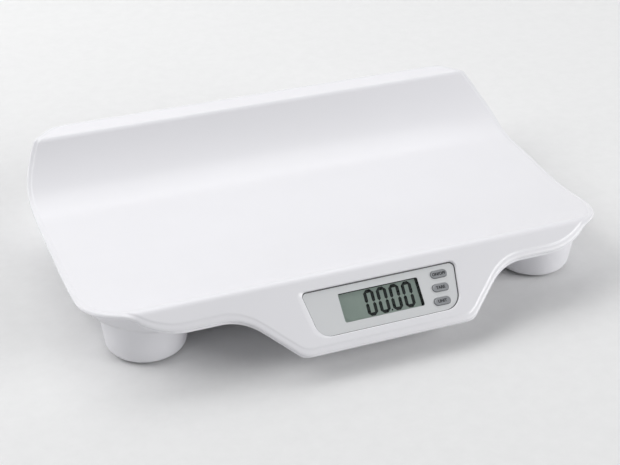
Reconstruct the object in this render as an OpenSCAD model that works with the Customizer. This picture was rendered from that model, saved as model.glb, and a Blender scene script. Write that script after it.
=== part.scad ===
// Digital baby weighing scale: a shallow tray with a rolled back rim and a leaning front face,
// carried by a lower housing whose four round pods hold the load cells and the feet.
// Millimetres. X runs along the tray, Y from the display to the back, Z up from the ground.

/* [Tray] */
// Width of the tray skin along its back
tray_w = 556; // [500:1:620]
// How much narrower the tray skin is along its front
tray_taper = 12; // [0:1:20]
// Height of the level weighing surface above the ground
floor_z = 52; // [50:1:62]
// Front-to-back length of the level part of the weighing surface
floor_run = 82; // [76:1:110]
// Rise of the front ridge above the weighing surface
ridge_rise = 25; // [22:1:30]
// Slope of the tray where it climbs to the front ridge, in degrees
ridge_slope = 20; // [18:1:24]
// Rounding of the front ridge
ridge_r = 10; // [8:0.5:14]
// Rise of the back wall up to its crease
back_rise = 46; // [42:1:54]
// Slope of the back wall at its crease, in degrees
back_slope = 52; // [48:1:56]
// Slope of the rolled back rim, in degrees
rim_slope = 8; // [4:1:12]
// Width of the rolled back rim between its crease and its rounding
rim_run = 14; // [10:1:20]
// Radius of the crease and of the rounding of the back rim
roll_r = 10; // [9:0.5:14]
// Drop of the back skirt below the rounding of the rim
skirt = 12; // [8:1:18]
// Thickness of the tray skin
tray_wall = 2.8; // [2.5:0.1:3.2]
// Width of the lip that runs round the edge of the tray
lip_w = 5; // [4:0.5:7]
// Depth of the top of the lip below the tray surface
lip_top = 0.8; // [0.6:0.1:1.6]
// Depth of the underside of the lip below the tray surface
lip_under = 5.4; // [5.2:0.1:6.5]
// Chamfer of the edges of the lip
lip_chamfer = 1; // [0.6:0.1:1.4]
// Thickness of the lip where it turns down over the rim of the housing
lip_wall = 2.2; // [2:0.1:2.5]
// Radius of the front corners of the tray seen from above
front_corner_r = 82; // [60:1:90]
// Radius of the back corners of the tray seen from above
back_corner_r = 84; // [66:1:92]

/* [Front face] */
// Lean of the front face from upright, in degrees
face_lean = 48.5; // [44:0.5:52]
// Slanted length of the front face beside the display
face_drop = 20; // [16:0.5:24]
// Slanted distance from the overlay panel down to the lower edge of the display face
panel_foot = 9.1; // [8:0.1:11]
// How far the lower corners of the display face pass the ends of the overlay panel
face_border = 6.5; // [5.5:0.5:10]
// How much further out the display face meets the front edge of the tray, at each end
face_flare = 50; // [44:1:56]
// Rounding of the lower corners of the display face
chin_r = 22; // [12:1:26]
// Rounding of the arches beside the display face
arch_r = 64; // [30:1:80]

/* [Display] */
// Slanted distance from the ridge to the top of the overlay panel
panel_top = 15.9; // [15:0.1:16.5]
// Height of the overlay panel
panel_h = 45; // [43.5:0.5:46.5]
// Width of the overlay panel along its top
panel_w = 161; // [156:1:163]
// How far the overlay panel sits to the right of the middle of the scale
panel_shift = 4.5; // [3:0.5:5]
// Narrowing of each side of the overlay panel towards its foot
panel_taper = 7.4; // [6:0.2:8.4]
// Thickness of the overlay panel
panel_t = 0.9; // [0.6:0.1:1]
// Depth of the recess that the overlay panel lies in
recess = 3; // [2.6:0.1:3.2]
// Gap between the overlay panel and the wall of its recess
panel_gap = 1; // [0.6:0.1:1.2]
// Depth of the bevel round the mouth of the recess
mouth_depth = 1.2; // [0.8:0.1:1.4]
// Width of that bevel
mouth_w = 1; // [0.8:0.1:1.4]
// How much wider that bevel is at the left
mouth_left = 4.5; // [3:0.5:5]
// Extra thickness of the tray skin behind the overlay panel
backing = 1.9; // [1.7:0.1:2.1]
// Half of what the readout window is narrower than the overlay panel
window_end = 39.5; // [38.5:0.5:42]
// Height of the readout window
window_h = 29; // [27:0.5:30]
// Slanted distance from the middle of the overlay panel up to the middle of the readout window
window_up = 0.7; // [0:0.1:1.2]
// Border of the liquid crystal cell round its window
cell_border = 4.5; // [3:0.5:5]
// Thickness of the liquid crystal cell
cell_t = 2.6; // [2:0.1:3]
// Depth from the outside of the front face to the circuit board
board_depth = 10.4; // [10:0.1:11]
// How far the circuit board passes each end of the overlay panel
board_beyond = 6; // [5.5:0.1:6.5]
// Rounding of the lower corners of the circuit board
board_r = 12; // [8:1:13]
// How much higher the circuit board is than the overlay panel
board_over = 1; // [0.5:0.1:1.5]
// Thickness of the circuit board
board_t = 1.6; // [1:0.1:2]

/* [Buttons] */
// Width of a button cap
button_w = 17.4; // [15:0.2:19]
// Height of a button cap
button_h = 7.4; // [6:0.2:8]
// Distance from the right end of the overlay panel to the middle button
button_end = 21.4; // [20.6:0.2:22.4]
// Slanted spacing of the buttons
button_pitch = 13.5; // [12:0.5:14]
// Height of a button cap above the overlay panel
button_proud = 1.2; // [0.9:0.1:1.6]
// Travel of a button
button_travel = 0.8; // [0.5:0.1:0.8]
// Gap round a button cap
button_gap = 0.3; // [0.2:0.05:0.4]

/* [Lower housing] */
// Thickness of the housing walls
base_wall = 2.5; // [2:0.1:3]
// Height of the underside of the housing above the ground
plate_z = 24; // [22:0.5:26]
// Distance from the front edge of the tray to the flat underside
plate_front = 56; // [48:1:64]
// Distance from the ends of the tray to the flat underside
plate_side = 52; // [44:1:60]
// Distance from the back of the tray to the flat underside
plate_back = 66; // [58:1:72]
// Height at which the sloping sides of the housing turn upright
shoulder_z = 46; // [44:1:47]
// Distance from the back of the tray to the housing at that height
shoulder_back = 46; // [38:1:54]
// Distance from each end of the tray skin to the middle of a pod
pod_inset = 64; // [60:1:70]
// Distance from the ridge back to the middle of the front pods
pod_front = 52; // [50:1:60]
// Distance from the back of the tray to the middle of the back pods
pod_back = 82; // [76:1:90]
// Radius of a pod near the ground
pod_r = 40; // [38:0.5:42]
// Radius of a pod under the tray
pod_top_r = 46; // [43:0.5:48]
// Rounding of the lower edge of a pod
pod_round = 7; // [4:0.5:7]

/* [Feet and load cells] */
// Gap between a pod and the ground
pod_z = 3; // [2.5:0.1:4]
// Radius of a foot
foot_r = 29.5; // [27:0.5:30]
// Gap between a foot and its pod
foot_gap = 0.5; // [0.4:0.1:0.8]
// Thickness of the rubber pad under a foot
pad_t = 1.8; // [1.4:0.1:2.2]
// Radius of the rubber pad
pad_r = 26; // [22:0.5:27]
// Side of a load cell
cell_side = 34; // [32:0.5:36]
// Thickness of a load cell
cell_plate = 2.6; // [2:0.1:3]
// Height of the underside of a load cell above the ground
cell_z = 13; // [12.6:0.1:14]

/* [Battery bay] */
// Distance from the ridge back to the middle of the battery bay
bay_y = 184; // [175:1:190]
// Radius of a battery
battery_r = 7.15; // [7:0.05:7.25]
// Length of a battery without its cap
battery_len = 49.2; // [48:0.1:49.5]
// Spacing of the batteries
battery_pitch = 15.2; // [15:0.1:16]
// Room at each end of the batteries for their contacts
contact_room = 3.2; // [3:0.1:4]
// Depth of the door rails below the housing
rail_drop = 5; // [4.8:0.1:6]
// Thickness of the battery door
door_t = 3.2; // [2.8:0.1:3.6]
// Running gap of the battery door
door_gap = 0.3; // [0.2:0.05:0.4]

/* [Hidden] */

fit = 0.3;           // gap between neighbouring fixed parts
round_steps = 10;    // chords of a rounded corner
far = 400;           // a length past every part
eps = 0.01;

// ---- Sizes that follow the overlay panel ---------------------------------------------------

panel_half = panel_w / 2;
display_foot = panel_half + face_border;                // half widths of the display face
display_shoulder = display_foot + face_flare;
window_w = panel_w - 2 * window_end;
board_w = panel_w + 2 * board_beyond;
button_x = panel_shift + panel_half - button_end;
board_h = panel_h + board_over;
panel_mid = panel_top + panel_h / 2;                    // slanted distances from the ridge
window_s = panel_mid - window_up;
display_drop = panel_top + panel_h + panel_foot;

// ---- Profile of the tray, in the Y-Z plane -------------------------------------------------

ridge_turn = 90 - face_lean + ridge_slope;              // change of direction over the ridge
ridge_tangent = ridge_r * tan(ridge_turn / 2);          // from the sharp ridge to the rounding
ridge_z = floor_z + ridge_rise;
front_arc = (ridge_rise - ridge_tangent * sin(ridge_slope)) / (1 - cos(ridge_slope));
back_arc = back_rise / (1 - cos(back_slope));

// Distances from the sharp ridge back to where each stretch of the profile starts
front_arc_start = ridge_tangent * cos(ridge_slope);
floor_start = front_arc_start + front_arc * sin(ridge_slope);
back_arc_start = floor_start + floor_run;
crease_start = back_arc_start + back_arc * sin(back_slope);
rim_start = crease_start + roll_r * (sin(back_slope) - sin(rim_slope));
roll_start = rim_start + rim_run * cos(rim_slope);
back_edge = roll_start + roll_r * (sin(rim_slope) + 1);

// The whole scale is centred on the origin, front to back
lip_front = (display_drop * sin(face_lean)) + lip_w;
ridge_y = (lip_front - back_edge) / 2;
rim_back = ridge_y + back_edge;

crease_z = floor_z + back_rise;
rim_z = crease_z + roll_r * (cos(rim_slope) - cos(back_slope));
roll_z = rim_z + rim_run * sin(rim_slope);
skirt_z = roll_z - roll_r * cos(rim_slope) - skirt;

function arc(centre, r, from, to, steps) =
    [for (k = [0:steps]) centre + r * [cos(from + (to - from) * k / steps), sin(from + (to - from) * k / steps)]];

// Points of the tray profile, depth below its surface, front end first. extra lengthens both ends.
function profile(depth, extra = 0) = let(
        y = ridge_y,
        along = [-sin(face_lean), -cos(face_lean)],
        inward = [cos(face_lean), -sin(face_lean)],
        front = [y, ridge_z] + (display_drop + 20 + extra) * along + depth * inward,
        ridge_centre = [y, ridge_z] + ridge_tangent * along + ridge_r * inward
    ) concat(
        [front],
        arc(ridge_centre, ridge_r - depth, 180 - face_lean, 90 - ridge_slope, 5),
        arc([y + floor_start, floor_z + front_arc], front_arc + depth, 270 - ridge_slope, 270, 8),
        arc([y + back_arc_start, floor_z + back_arc], back_arc + depth, 270, 270 + back_slope, 12),
        arc([y + crease_start + roll_r * sin(back_slope), crease_z - roll_r * cos(back_slope)],
            roll_r - depth, 90 + back_slope, 90 + rim_slope, 4),
        arc([y + roll_start + roll_r * sin(rim_slope), roll_z - roll_r * cos(rim_slope)],
            roll_r - depth, 90 + rim_slope, 0, 7),
        [[rim_back - depth, skirt_z - extra]]
    );

function reversed(list) = [for (k = [len(list) - 1:-1:0]) list[k]];

// Draws a Y-Z outline and runs it along X
module along_x(points, width = far * 2)
    rotate([90, 0, 90]) linear_extrude(width, center = true) polygon(points);

// The layer between two depths below the tray surface
module layer(top, under, extra = 0)
    along_x(concat(profile(top, extra), reversed(profile(under, extra))));

// Everything deeper than a depth below the tray surface
module below(depth, extra = 0)
    along_x(concat(profile(depth, extra), [[rim_back - depth, -50], [-far, -50]]));

// ---- Outline of the tray seen from above --------------------------------------------------

front_edge_y = ridge_y - face_drop * sin(face_lean);
chin_y = ridge_y - display_drop * sin(face_lean);
front_half = (tray_w - tray_taper) / 2;
back_half = tray_w / 2;
plan_corners = [
    [-display_foot, chin_y], [display_foot, chin_y], [display_shoulder, front_edge_y],
    [front_half, front_edge_y], [back_half, rim_back], [-back_half, rim_back],
    [-front_half, front_edge_y], [-display_shoulder, front_edge_y]
];
plan_radii = [chin_r, chin_r, arch_r, front_corner_r, back_corner_r, back_corner_r, front_corner_r, arch_r];

function unit(v) = v / norm(v);
function outward(a, b) = let(d = unit(b - a)) [d[1], -d[0]];
function neighbour(points, k, step) = points[(k + step + len(points)) % len(points)];
function grown(points, by) = [for (k = [0:len(points) - 1]) let(
        before = outward(neighbour(points, k, -1), points[k]),
        after = outward(points[k], neighbour(points, k, 1))
    ) points[k] + (before + after) * by / (1 + before * after)];

// An anticlockwise outline grown by a distance, with each corner rounded to its own radius
function rounded(corners, radii, by = 0) = let(points = grown(corners, by)) [
    for (k = [0:len(points) - 1]) let(
        corner = points[k],
        u = unit(neighbour(points, k, -1) - corner),
        v = unit(neighbour(points, k, 1) - corner),
        half = acos(u * v) / 2,
        side = u[0] * v[1] - u[1] * v[0] < 0 ? 1 : -1,
        r = max(radii[k] + side * by, 1),
        centre = corner + unit(u + v) * r / sin(half),
        start = corner + u * r / tan(half) - centre,
        from = atan2(start[1], start[0])
    ) each arc(centre, r, from, from + side * (180 - 2 * half), round_steps)
];

function plan(by) = rounded(plan_corners, plan_radii, by);

module column(points, low = -10, high = 160)
    translate([0, 0, low]) linear_extrude(high - low) polygon(points);

// ---- The front face -----------------------------------------------------------------------

// Puts children on the front face: X along the scale, Y up the slope, Z outwards, at a slanted
// distance from the sharp ridge
module on_face(down)
    translate([0, ridge_y, ridge_z]) rotate([90 - face_lean, 0, 0]) translate([0, -down, 0]) children();

// Corners of the overlay panel, and of the mouth of its recess, with the left side moved out
function panel_outline(left = 0) = [
    [panel_shift - panel_half + panel_taper - left, -panel_h], [panel_shift + panel_half - panel_taper, -panel_h],
    [panel_shift + panel_half, 0], [panel_shift - panel_half - left, 0]
];
panel_corners = panel_outline();
panel_radii = [14, 17, 5, 4];
button_lean = panel_taper / panel_h;                    // the buttons follow the side of the panel
button_top = button_proud + panel_t - recess;
function button_at(k) = [button_x + button_lean * k * button_pitch, panel_mid - k * button_pitch];

// A stadium: a bar with round ends
module stadium(w, h, height)
    linear_extrude(height) {
        for (side = [-1, 1]) translate([side * (w - h) / 2, 0]) circle(h / 2, $fn = 48);
        square([w - h, h], center = true);
    }

module box(size, low)
    translate([-size[0] / 2, -size[1] / 2, low]) cube(size);

// ---- Screws between the two shells --------------------------------------------------------

screw_front = 68;                                       // from the ridge to the front screws
screw_back = 78;                                        // from the back of the tray to the back screws
screw_side = 118;                                       // from the ends of the tray to the outer screws
chin_screw = [85, 50];                                  // from the middle line, and from the ridge
screw_y = [ridge_y + screw_front, rim_back - screw_back];
screw_x = back_half - screw_side;
shell_screw_places = [
    [-screw_x, screw_y[0]], [screw_x, screw_y[0]], [-screw_x, screw_y[1]], [screw_x, screw_y[1]],
    [-chin_screw[0], ridge_y + chin_screw[1]], [chin_screw[0], ridge_y + chin_screw[1]], [0, screw_y[1]]
];
shell_boss_r = 5;
screw_seat_z = plate_z + 9;                             // where the screw heads pull on the housing
shell_split_z = screw_seat_z + 3.5;                     // where the bosses of the two shells meet
screw_r = 1.5;
screw_head_r = 3;
screw_len = 9;

// ---- Tray ---------------------------------------------------------------------------------

backing_border = 3;                                     // how far the thicker skin passes the panel
lens_gap = 0.2;
lens_w = window_w + 4;
lens_h = window_h + 4;
board_boss_r = 3.2;
board_boss_in = 6;                                      // from the edges of the board to its screws
board_bosses = [for (x = [-1, 1], y = [-1, 1])
    [x * (board_w / 2 - board_boss_in), y * (board_h / 2 - board_boss_in)]];
board_s = panel_mid - 1.8;                              // slanted distance to the middle of the board

// The lip round the tray, with chamfered edges and hollow underneath
module lip() difference() {
    for (cut = [0, 1]) intersection() {
        layer(lip_top + cut * lip_chamfer, lip_under - cut * lip_chamfer);
        column(plan(lip_w - (1 - cut) * lip_chamfer));
    }
    intersection() {
        layer(tray_wall, lip_under + 1, 20);
        column(plan(lip_w - lip_wall));
    }
}

module tray() color("white") difference() {
    union() {
        intersection() {
            layer(0, tray_wall);
            column(plan(0));
        }
        lip();
        // Bosses that the shell screws pull on
        intersection() {
            for (at = shell_screw_places)
                translate([at[0], at[1], shell_split_z]) cylinder(h = far, r = shell_boss_r, $fn = 32);
            below(tray_wall / 2);
        }
        // Thicker skin behind the overlay panel
        on_face(panel_top) translate([0, 0, -tray_wall - backing]) linear_extrude(tray_wall / 2 + backing)
            polygon(rounded(panel_corners, panel_radii, backing_border));
        // Bosses that the circuit board is screwed to
        on_face(board_s) for (at = board_bosses)
            translate([at[0], at[1], -board_depth]) cylinder(h = board_depth - tray_wall / 2, r = board_boss_r, $fn = 32);
    }
    // Recess of the overlay panel with its bevelled mouth, and the window and button holes in its floor
    on_face(panel_top) {
        translate([0, 0, -recess]) linear_extrude(recess) polygon(rounded(panel_corners, panel_radii, panel_gap));
        hull() {
            translate([0, 0, -mouth_depth]) linear_extrude(0.1) polygon(rounded(panel_corners, panel_radii, panel_gap / 2));
            linear_extrude(5) polygon(rounded(panel_outline(mouth_left), panel_radii, panel_gap + mouth_w));
        }
    }
    on_face(window_s) box([lens_w, lens_h, 20], -10);
    for (k = [-1:1]) on_face(button_at(k)[1]) translate([button_at(k)[0], 0, -10])
        stadium(button_w + 2 * button_gap, button_h + 2 * button_gap, 20);
    // Pilot holes
    for (at = shell_screw_places)
        translate([at[0], at[1], shell_split_z - 1]) cylinder(h = 8, r = screw_r, $fn = 24);
    on_face(board_s) for (at = board_bosses)
        translate([at[0], at[1], -board_depth - 1]) cylinder(h = 6.5, r = 1, $fn = 24);
}

// ---- Display ------------------------------------------------------------------------------

module display_panel() color("gainsboro") difference() {
    on_face(panel_top) translate([0, 0, -recess]) linear_extrude(panel_t) polygon(rounded(panel_corners, panel_radii));
    on_face(window_s) box([window_w, window_h, 20], -10);
    for (k = [-1:1]) on_face(button_at(k)[1]) translate([button_at(k)[0], 0, -10])
        stadium(button_w + 2 * button_gap, button_h + 2 * button_gap, 20);
}

lens_t = 1.6;
module display_lens() color("azure") on_face(window_s)
    box([lens_w - 2 * lens_gap, lens_h - 2 * lens_gap, lens_t], -recess - lens_t);

cell_w = window_w + 2 * cell_border;
cell_h = window_h + 2 * (cell_border - 0.5);
cell_top = -tray_wall - backing - 0.2;
module lcd_cell() color("darkseagreen") on_face(window_s) box([cell_w, cell_h, cell_t], cell_top - cell_t);

module lcd_frame() color("whitesmoke") on_face(window_s) difference() {
    box([cell_w + 6, cell_h + 6, board_depth + cell_top], -board_depth);
    box([cell_w + 2 * fit, cell_h + 2 * fit, 10], cell_top - cell_t);
    box([cell_w - 8, cell_h - 1, 20], -15);
}

connector_t = 2.4;
module lcd_connectors() color("dimgray") on_face(window_s) for (side = [-1, 1])
    translate([0, side * (cell_h / 2 - 0.8 - connector_t / 2), 0])
        box([window_w - 6, connector_t, board_depth + cell_top - cell_t], -board_depth);

// ---- Circuit board ------------------------------------------------------------------------

module main_board() color("seagreen") on_face(board_s) difference() {
    translate([0, 0, -board_depth - board_t]) linear_extrude(board_t) polygon(rounded([
        [-board_w / 2, -board_h / 2], [board_w / 2, -board_h / 2],
        [board_w / 2, board_h / 2], [-board_w / 2, board_h / 2]
    ], [board_r, board_r, 2, 2]));
    for (at = board_bosses) translate([at[0], at[1], -board_depth - 5]) cylinder(h = 10, r = 1.3, $fn = 24);
}

// Parts on the back of the board: [x, y, width, height, thickness]
board_back = -board_depth - board_t;
chips = [[-20, 6, 14, 14, 1.8], [14, 8, 9, 7, 1.6], [34, 4, 5, 8, 1.4], [-46, 8, 8, 5, 2]];
sockets = [[-64, -8], [-34, -12], [-6, -12], [22, -12], [50, -12]];
socket_size = [9, 5.5, 4];
module board_parts() color("dimgray") on_face(board_s) {
    for (c = chips) translate([c[0], c[1], 0]) box([c[2], c[3], c[4]], board_back - c[4]);
    for (at = [[48, 8], [58, 8]]) translate([at[0], at[1], board_back - 4]) cylinder(h = 4, r = 2.5, $fn = 32);
    for (at = sockets) translate([at[0], at[1], 0]) box(socket_size, board_back - socket_size[2]);
}

module board_screws() color("silver") on_face(board_s) for (at = board_bosses)
    translate([at[0], at[1], board_back]) {
        cylinder(h = board_t + 5, r = 1, $fn = 24);
        translate([0, 0, -1.4]) difference() {
            cylinder(h = 1.4, r = 2.2, $fn = 32);
            translate([0, 0, -eps]) for (turn = [0, 90]) rotate(turn) box([2.4, 0.5, 0.7], 0);
        }
    }

// ---- Buttons ------------------------------------------------------------------------------

pill_t = 0.25;                                          // thickness of a contact on the board
stem_r = 2.6;
stem_low = -board_depth + pill_t + button_travel + 0.15;
flange_low = -tray_wall - backing - fit - 0.9;
module button(k) color("lightgray") on_face(button_at(k)[1]) translate([button_at(k)[0], 0, 0]) {
    translate([0, 0, flange_low + 0.9]) stadium(button_w, button_h, button_top - 0.5 - flange_low - 0.9);
    translate([0, 0, button_top - 0.5]) stadium(button_w - 1, button_h - 1, 0.5);
    translate([0, 0, flange_low]) stadium(button_w + 3.6, button_h + 3.6, 0.9);
    translate([0, 0, stem_low]) cylinder(h = flange_low - stem_low, r = stem_r, $fn = 32);
}

// Silicone mat with a collar round each stem
collar_top = flange_low - button_travel - 0.2;
mat_w = 2 * (button_end - panel_shift + board_beyond - board_boss_in - board_boss_r - 0.8);
module key_mat() color("gray") difference() {
    union() {
        on_face(panel_mid) translate([button_x, 0, 0]) box([mat_w, button_pitch * 3, 0.8], -board_depth);
        for (k = [-1:1]) on_face(button_at(k)[1]) translate([button_at(k)[0], 0, -board_depth])
            cylinder(h = collar_top + board_depth, r = 5, $fn = 40);
    }
    for (k = [-1:1]) on_face(button_at(k)[1]) translate([button_at(k)[0], 0, -board_depth - 1])
        cylinder(h = 20, r = stem_r + 0.8, $fn = 40);
}

module key_contacts() color("goldenrod")
    for (k = [-1:1]) on_face(button_at(k)[1]) translate([button_at(k)[0], 0, -board_depth])
        cylinder(h = pill_t, r = 2.8, $fn = 32);

// ---- Lower housing ------------------------------------------------------------------------

pod_x = back_half - pod_inset;
pod_y = [ridge_y + pod_front, rim_back - pod_back];
pod_places = [[-pod_x, pod_y[0]], [pod_x, pod_y[0]], [-pod_x, pod_y[1]], [pod_x, pod_y[1]]];
pod_names = ["front_left", "front_right", "back_left", "back_right"];

// Outline of the housing at one height, given its distances in from the tray's front, ends and back
function outline(front, side, back, radii, by) = rounded([
        [side - front_half, front_edge_y + front], [front_half - side, front_edge_y + front],
        [back_half - side, rim_back - back], [side - back_half, rim_back - back]
    ], radii, by);
upright_inset = 4;                                      // from the edge of the tray to the upright wall
shoulder_front = 14;
tub_radii = [front_corner_r - 4, front_corner_r - 4, back_corner_r - 4, back_corner_r - 4];
function plate(by) = outline(plate_front, plate_side, plate_back, [34, 34, 34, 34], by);
function shoulder(by) = outline(shoulder_front, upright_inset, shoulder_back, tub_radii, by);
function collar(by) = outline(upright_inset, upright_inset, upright_inset, tub_radii, by);
collar_z = skirt_z - 4;

// The sloping tub, its walls set in by a distance
module tub_body(inset) {
    hull() {
        column(plate(-inset), plate_z + inset, plate_z + inset + 0.1);
        column(shoulder(-inset), shoulder_z, shoulder_z + 0.1);
    }
    hull() {
        column(shoulder(-inset), shoulder_z, shoulder_z + 0.1);
        column(collar(-inset), collar_z, collar_z + 0.1);
    }
    column(collar(-inset), collar_z);
}

// The box behind the display face: a channel along Y whose sides slope like those of the face
chin_in = 2;
chin_arch_z = ridge_z - face_drop * cos(face_lean) - lip_under / sin(face_lean) + chin_in;
chin_back = ridge_y + 60;
chin_corners = [
    [chin_in - display_foot, plate_z], [display_foot - chin_in, plate_z],
    [display_shoulder - chin_in, chin_arch_z], [display_shoulder - chin_in, far],
    [chin_in - display_shoulder, far], [chin_in - display_shoulder, chin_arch_z]
];
module chin_body(inset)
    translate([0, chin_back, 0]) rotate([90, 0, 0]) linear_extrude(far)
        polygon(rounded(chin_corners, [chin_r, chin_r, 20, 1, 1, 20], -inset));

// A pod, its walls set in by a distance and its floor raised by another
module pod_body(inset, floor) {
    low = pod_z + floor;
    r = pod_r - inset;
    bend = pod_round - inset;
    translate([0, 0, low]) rotate_extrude($fn = 96) polygon(concat(
        [[0, 0]], arc([r - bend, bend], bend, -90, 0, 8), [[pod_top_r - inset, shoulder_z - low + 12], [0, shoulder_z - low + 12]]
    ));
}

// The rim inside the lip, which the tray rests on, with room for the thicker skin behind the panel
ledge_in = 8;
module rim() difference() {
    intersection() {
        layer(tray_wall + fit, lip_under, 8);
        column(plan(lip_w - lip_wall - fit));
    }
    column(plan(-ledge_in));
    on_face(panel_top) translate([0, 0, -20]) linear_extrude(40)
        polygon(rounded(panel_corners, panel_radii, backing_border + fit));
}

bay = [battery_pitch * 4 + 1.2, battery_len + 1.3 + 2 * contact_room];
bay_centre = ridge_y + bay_y;
door_top = plate_z - rail_drop - door_gap;
battery_z = door_top + door_gap + battery_r;
bay_top = battery_z + battery_r + fit;
bay_wall = 2;
rail = [bay[0] + 12, bay[1] + 12];
groove = [1.8, 2.4];                                    // depth and height of the door groove

module base() color("ivory") difference() {
    union() {
        difference() {
            intersection() {
                union() {
                    tub_body(0);
                    chin_body(0);
                    for (at = pod_places) translate([at[0], at[1], 0]) pod_body(0, 0);
                }
                below(tray_wall + fit, 8);
            }
            tub_body(base_wall);
            chin_body(base_wall);
            for (at = pod_places) translate([at[0], at[1], 0]) pod_body(base_wall, 3);
        }
        intersection() {
            rim();
            translate([-far, -far, plate_z - 1]) cube([far * 2, far * 2, far]);
        }
        // Bosses of the shell screws
        for (at = shell_screw_places) translate([at[0], at[1], plate_z])
            cylinder(h = shell_split_z - plate_z - fit, r = shell_boss_r + 0.6, $fn = 32);
        // Battery bay and the rails of its door
        translate([0, bay_centre, 0]) {
            box([bay[0] + 2 * bay_wall, bay[1] + 2 * bay_wall, bay_top + bay_wall - plate_z], plate_z);
            box([rail[0], rail[1], rail_drop + 1], plate_z - rail_drop);
        }
        // Bars across each pod that its load cell lies on
        for (at = pod_places) translate([at[0], at[1], 0]) for (side = [-1, 1])
            translate([0, side * (cell_side / 2 - 2.5), 0]) box([2 * (pod_r - 5), 5, 3.4], cell_z - 3.4);
    }
    for (at = pod_places) translate([at[0], at[1], 0]) cylinder(h = 3 * pod_z, r = foot_r + foot_gap, $fn = 96);
    for (at = shell_screw_places) translate([at[0], at[1], 0]) {
        translate([0, 0, plate_z - 1]) cylinder(h = screw_seat_z - plate_z + 1, r = screw_head_r + 0.4, $fn = 32);
        cylinder(h = 80, r = screw_r + 0.2, $fn = 24);
    }
    translate([0, bay_centre, 0]) {
        box([bay[0], bay[1], bay_top], 0);
        for (side = [-1, 1]) translate([side * (rail[0] / 2 - groove[0] / 2 + 0.5), 2, 0])
            box([groove[0] + 1, rail[1], groove[1]], plate_z - rail_drop + 1.5);
    }
    for (at = pod_places) translate([at[0], at[1], 0]) for (side = [-1, 1])
        translate([side * (cell_side / 2 - 4), side * (cell_side / 2 - 2.5), cell_z - 3]) cylinder(h = 4, r = 1, $fn = 24);
}

// ---- Feet and load cells ------------------------------------------------------------------

pod_floor = pod_z + 3;
flange_t = 2;
flange_r = min(foot_r + 2.5, pod_r - base_wall - 1);
module foot() color("lightgray") {
    translate([0, 0, pad_t]) cylinder(h = pod_floor + fit - pad_t, r = foot_r, $fn = 96);
    translate([0, 0, pod_floor + fit]) cylinder(h = flange_t, r = flange_r, $fn = 96);
    translate([0, 0, pod_floor + fit]) cylinder(h = cell_z - pod_floor - fit, r = 7, $fn = 48);
}

module foot_pad() color("dimgray") cylinder(h = pad_t, r = pad_r, $fn = 96);

// A steel plate whose middle tongue bends under the foot, with the strain gauge on it
module load_cell() color("silver") translate([0, 0, cell_z]) {
    difference() {
        box([cell_side, cell_side, cell_plate], 0);
        for (side = [-1, 1]) translate([side * 7.5, 1.5, 0]) box([2, cell_side - 12, 10], -1);
        translate([0, cell_side / 2 - 5.5, 0]) box([17, 2, 10], -1);
        for (side = [-1, 1]) translate([side * (cell_side / 2 - 4), side * (cell_side / 2 - 2.5), -1])
            cylinder(h = 10, r = 1.4, $fn = 24);
    }
    translate([0, -6, cell_plate]) box([8, 6, 0.8], 0);
}

module cell_screws() color("silver")
    for (at = pod_places) translate([at[0], at[1], 0]) for (side = [-1, 1])
        translate([side * (cell_side / 2 - 4), side * (cell_side / 2 - 2.5), cell_z - 2.5]) {
            cylinder(h = cell_plate + 2.5, r = 1, $fn = 24);
            translate([0, 0, cell_plate + 2.5]) difference() {
                cylinder(h = 1.4, r = 2.2, $fn = 32);
                for (turn = [0, 90]) rotate(turn) box([2.4, 0.5, 2], 0.7);
            }
        }

module shell_screws() color("silver")
    for (at = shell_screw_places) translate([at[0], at[1], screw_seat_z]) {
        cylinder(h = screw_len, r = screw_r, $fn = 24);
        translate([0, 0, -2]) difference() {
            cylinder(h = 2, r = screw_head_r, $fn = 32);
            for (turn = [0, 90]) rotate(turn) box([3.4, 0.7, 1], -eps);
        }
    }

// ---- Cables -------------------------------------------------------------------------------

// A round tube of sides faces swept along a route
function tangent(route, k) = unit(route[min(k + 1, len(route) - 1)] - route[max(k - 1, 0)]);
function ring(centre, direction, r, sides) = let(
        side = unit(cross(direction, abs(direction[2]) > 0.9 ? [0, 1, 0] : [0, 0, 1])),
        top = cross(side, direction)
    ) [for (k = [0:sides - 1]) centre + r * (cos(360 * k / sides) * side + sin(360 * k / sides) * top)];
module tube(route, r, sides = 8) {
    n = len(route);
    points = [for (k = [0:n - 1]) each ring(route[k], tangent(route, k), r, sides)];
    polyhedron(points, concat(
        [[for (j = [sides - 1:-1:0]) j]],
        [for (k = [0:n - 2], j = [0:sides - 1]) let(a = k * sides + j, b = k * sides + (j + 1) % sides)
            each [[a, b, a + sides], [b, b + sides, a + sides]]],
        [[for (j = [0:sides - 1]) (n - 1) * sides + j]]
    ));
}

// A smooth curve through hand-chosen points
function curve_point(a, b, c, d, t) = ((2 * b) + (c - a) * t + (2 * a - 5 * b + 4 * c - d) * t * t
    + (3 * b - a - 3 * c + d) * t * t * t) / 2;
function smooth(points, steps) = let(n = len(points)) concat(
    [for (k = [0:n - 2], j = [0:steps - 1]) curve_point(
        points[max(k - 1, 0)], points[k], points[k + 1], points[min(k + 2, n - 1)], j / steps)],
    [points[n - 1]]
);

cable_r = 1.1;
floor_top = plate_z + base_wall;

// Where a cable meets its socket on the board, in the frame of the scale
function socket_at(k, out = 0) = let(
        up = sockets[k][1] - socket_size[1] / 2 - out,
        depth = board_back - socket_size[2] / 2
    ) [
        sockets[k][0],
        ridge_y + (up - board_s) * sin(face_lean) - depth * cos(face_lean),
        ridge_z + (up - board_s) * cos(face_lean) + depth * sin(face_lean)
    ];

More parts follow.
